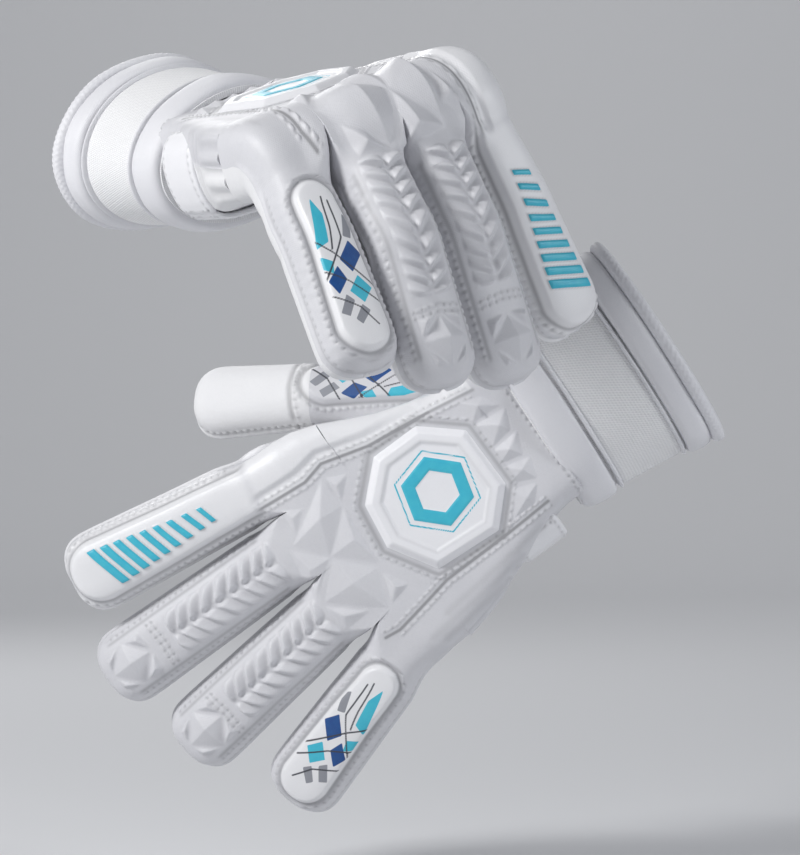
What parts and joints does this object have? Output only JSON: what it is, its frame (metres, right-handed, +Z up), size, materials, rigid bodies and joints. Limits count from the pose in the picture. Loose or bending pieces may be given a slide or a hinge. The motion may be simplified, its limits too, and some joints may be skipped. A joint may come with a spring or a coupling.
{
  "type": "goalkeeper gloves",
  "caption": "Pair of padded goalkeeper gloves with bending fingers, embossed backhand, latex palm, wrist strap and wide ribbed cuff, crossed as worn.",
  "frame": {"origin": "centre of the left cuff's mouth, where the wearer's left forearm holds the pair", "axes": "+Z up, along the pair's longest extent; +X towards the left cuff's side; -Y is the side that the left backhand faces"},
  "size_m": [0.286, 0.223, 0.3286],
  "materials": {
    "palm_latex": "matte, faintly pebbled white latex foam",
    "backhand_foam": "white coated foam with embossed relief, satin",
    "badge_emboss": "moulded light grey plate, satin",
    "side_mesh": "fine pleated stretch mesh, matte",
    "strap_web": "smooth coated strap, satin",
    "hook_and_loop": "hook and loop pile, matte",
    "ribbed_knit": "fine diagonal ribbed elastic knit",
    "binding_knit": "padded rolls and stitched binding, satin"
  },
  "bodies": {
    "left_cuff": {"left_cuff_sleeve": "ribbed_knit", "left_cuff_rolls": "binding_knit"},
    "left_hand": {"left_palm_latex": "palm_latex", "left_backhand": "backhand_foam", "left_badge_plate": "badge_emboss", "left_side_gussets": "side_mesh", "left_strap_root": "strap_web", "left_loop_patch": "hook_and_loop"},
    "left_index_base": {"left_index_base_back": "backhand_foam", "left_index_base_grip": "palm_latex"},
    "left_index_tip": {"left_index_tip_back": "backhand_foam", "left_index_tip_grip": "palm_latex"},
    "left_middle_base": {"left_middle_base_back": "backhand_foam", "left_middle_base_grip": "palm_latex"},
    "left_middle_tip": {"left_middle_tip_back": "backhand_foam", "left_middle_tip_grip": "palm_latex"},
    "left_ring_base": {"left_ring_base_back": "backhand_foam", "left_ring_base_grip": "palm_latex"},
    "left_ring_tip": {"left_ring_tip_back": "backhand_foam", "left_ring_tip_grip": "palm_latex"},
    "left_little_base": {"left_little_base_back": "backhand_foam", "left_little_base_grip": "palm_latex"},
    "left_little_tip": {"left_little_tip_back": "backhand_foam", "left_little_tip_grip": "palm_latex"},
    "left_thumb_base": {"left_thumb_base_back": "backhand_foam", "left_thumb_base_grip": "palm_latex"},
    "left_thumb_tip": {"left_thumb_tip_back": "backhand_foam", "left_thumb_tip_grip": "palm_latex"},
    "left_strap": {"left_strap_flap": "strap_web", "left_hook_patch": "hook_and_loop"},
    "right_cuff": {"right_cuff_sleeve": "ribbed_knit", "right_cuff_rolls": "binding_knit"},
    "right_hand": {"right_palm_latex": "palm_latex", "right_backhand": "backhand_foam", "right_badge_plate": "badge_emboss", "right_side_gussets": "side_mesh", "right_strap_root": "strap_web", "right_loop_patch": "hook_and_loop"},
    "right_index_base": {"right_index_base_back": "backhand_foam", "right_index_base_grip": "palm_latex"},
    "right_index_tip": {"right_index_tip_back": "backhand_foam", "right_index_tip_grip": "palm_latex"},
    "right_middle_base": {"right_middle_base_back": "backhand_foam", "right_middle_base_grip": "palm_latex"},
    "right_middle_tip": {"right_middle_tip_back": "backhand_foam", "right_middle_tip_grip": "palm_latex"},
    "right_ring_base": {"right_ring_base_back": "backhand_foam", "right_ring_base_grip": "palm_latex"},
    "right_ring_tip": {"right_ring_tip_back": "backhand_foam", "right_ring_tip_grip": "palm_latex"},
    "right_little_base": {"right_little_base_back": "backhand_foam", "right_little_base_grip": "palm_latex"},
    "right_little_tip": {"right_little_tip_back": "backhand_foam", "right_little_tip_grip": "palm_latex"},
    "right_thumb_base": {"right_thumb_base_back": "backhand_foam", "right_thumb_base_grip": "palm_latex"},
    "right_thumb_tip": {"right_thumb_tip_back": "backhand_foam", "right_thumb_tip_grip": "palm_latex"},
    "right_strap": {"right_strap_flap": "strap_web", "right_hook_patch": "hook_and_loop"}
  },
  "joints": [
    {"name": "left_wrist_flex", "type": "hinge", "parent": "left_cuff", "child": "left_hand", "pos_m": [-0.06374, 0, -0.0414], "axis": [0.5949, 0, -0.8038], "range_deg": [-22, 30]},
    {"name": "left_index_knuckle", "type": "hinge", "parent": "left_hand", "child": "left_index_base", "pos_m": [-0.15773, -0.005, -0.05559], "axis": [0.5949, 0, -0.8038], "range_deg": [-11, 63]},
    {"name": "left_index_mid", "type": "hinge", "parent": "left_index_base", "child": "left_index_tip", "pos_m": [-0.19921, -0.00015, -0.07715], "axis": [0.5949, 0, -0.8038], "range_deg": [-9, 54]},
    {"name": "left_middle_knuckle", "type": "hinge", "parent": "left_hand", "child": "left_middle_base", "pos_m": [-0.1459, -0.005, -0.08167], "axis": [0.5949, 0, -0.8038], "range_deg": [-13, 61]},
    {"name": "left_middle_mid", "type": "hinge", "parent": "left_middle_base", "child": "left_middle_tip", "pos_m": [-0.18621, 0.00196, -0.11042], "axis": [0.5949, 0, -0.8038], "range_deg": [-11, 52]},
    {"name": "left_ring_knuckle", "type": "hinge", "parent": "left_hand", "child": "left_ring_base", "pos_m": [-0.12623, -0.005, -0.1032], "axis": [0.5949, 0, -0.8038], "range_deg": [-14, 60]},
    {"name": "left_ring_mid", "type": "hinge", "parent": "left_ring_base", "child": "left_ring_tip", "pos_m": [-0.16058, 0.00245, -0.13589], "axis": [0.5949, 0, -0.8038], "range_deg": [-12, 51]},
    {"name": "left_little_knuckle", "type": "hinge", "parent": "left_hand", "child": "left_little_base", "pos_m": [-0.10065, -0.005, -0.12096], "axis": [0.5949, 0, -0.8038], "range_deg": [-13, 61]},
    {"name": "left_little_mid", "type": "hinge", "parent": "left_little_base", "child": "left_little_tip", "pos_m": [-0.12501, 0.00047, -0.15348], "axis": [0.5949, 0, -0.8038], "range_deg": [-12, 51]},
    {"name": "left_thumb_swing", "type": "hinge", "parent": "left_hand", "child": "left_thumb_base", "pos_m": [-0.09784, -0.001, -0.02558], "axis": [0.8038, 0, 0.5949], "range_deg": [-44, 8]},
    {"name": "left_thumb_bend", "type": "hinge", "parent": "left_thumb_base", "child": "left_thumb_tip", "pos_m": [-0.15083, 0.0093, -0.02419], "axis": [0.0898, 0.3357, 0.9377], "range_deg": [-32, 16]},
    {"name": "left_strap_open", "type": "hinge", "parent": "left_hand", "child": "left_strap", "pos_m": [-0.05173, 0.0112, -0.08451], "axis": [0.8038, 0, 0.5949], "range_deg": [-160, 0]},
    {"name": "right_wrist_flex", "type": "hinge", "parent": "right_cuff", "child": "right_hand", "pos_m": [-0.17323, -0.02545, 0.07669], "axis": [0.764, 0.5471, 0.3421], "range_deg": [-14, 5]},
    {"name": "right_index_knuckle", "type": "hinge", "parent": "right_hand", "child": "right_index_base", "pos_m": [-0.09099, -0.07001, 0.09435], "axis": [0.764, 0.5471, 0.3421], "range_deg": [-82, 7]},
    {"name": "right_index_mid", "type": "hinge", "parent": "right_index_base", "child": "right_index_tip", "pos_m": [-0.06796, -0.06479, 0.05371], "axis": [0.764, 0.5471, 0.3421], "range_deg": [-11, 20]},
    {"name": "right_middle_knuckle", "type": "hinge", "parent": "right_hand", "child": "right_middle_base", "pos_m": [-0.10884, -0.09017, 0.0846], "axis": [0.764, 0.5471, 0.3421], "range_deg": [-73, 16]},
    {"name": "right_middle_mid", "type": "hinge", "parent": "right_middle_base", "child": "right_middle_tip", "pos_m": [-0.08839, -0.09686, 0.03947], "axis": [0.764, 0.5471, 0.3421], "range_deg": [-16, 47]},
    {"name": "right_ring_knuckle", "type": "hinge", "parent": "right_hand", "child": "right_ring_base", "pos_m": [-0.13276, -0.10361, 0.07476], "axis": [0.764, 0.5471, 0.3421], "range_deg": [-62, 27]},
    {"name": "right_ring_mid", "type": "hinge", "parent": "right_ring_base", "child": "right_ring_tip", "pos_m": [-0.11323, -0.11992, 0.03406], "axis": [0.764, 0.5471, 0.3421], "range_deg": [-21, 42]},
    {"name": "right_little_knuckle", "type": "hinge", "parent": "right_hand", "child": "right_little_base", "pos_m": [-0.1612, -0.11168, 0.06494], "axis": [0.764, 0.5471, 0.3421], "range_deg": [-58, 31]},
    {"name": "right_little_mid", "type": "hinge", "parent": "right_little_base", "child": "right_little_tip", "pos_m": [-0.14479, -0.12853, 0.03135], "axis": [0.764, 0.5471, 0.3421], "range_deg": [-12, 51]},
    {"name": "right_thumb_swing", "type": "hinge", "parent": "right_hand", "child": "right_thumb_base", "pos_m": [-0.13767, -0.02215, 0.08844], "axis": [0.59, -0.807, -0.027], "range_deg": [-24, 0]},
    {"name": "right_thumb_bend", "type": "hinge", "parent": "right_thumb_base", "child": "right_thumb_tip", "pos_m": [-0.10934, -0.01782, 0.04266], "axis": [-0.2276, -0.9461, -0.2303], "range_deg": [-35, 0]},
    {"name": "right_strap_open", "type": "hinge", "parent": "right_hand", "child": "right_strap", "pos_m": [-0.1928, -0.05874, 0.05144], "axis": [0.59, -0.807, -0.027], "range_deg": [-160, 0]},
    {"name": "right_glove_lift", "type": "slide", "parent": "left_cuff", "child": "right_cuff", "axis": [0, 0, 1], "range_m": [0, 0.35]}
  ]
}
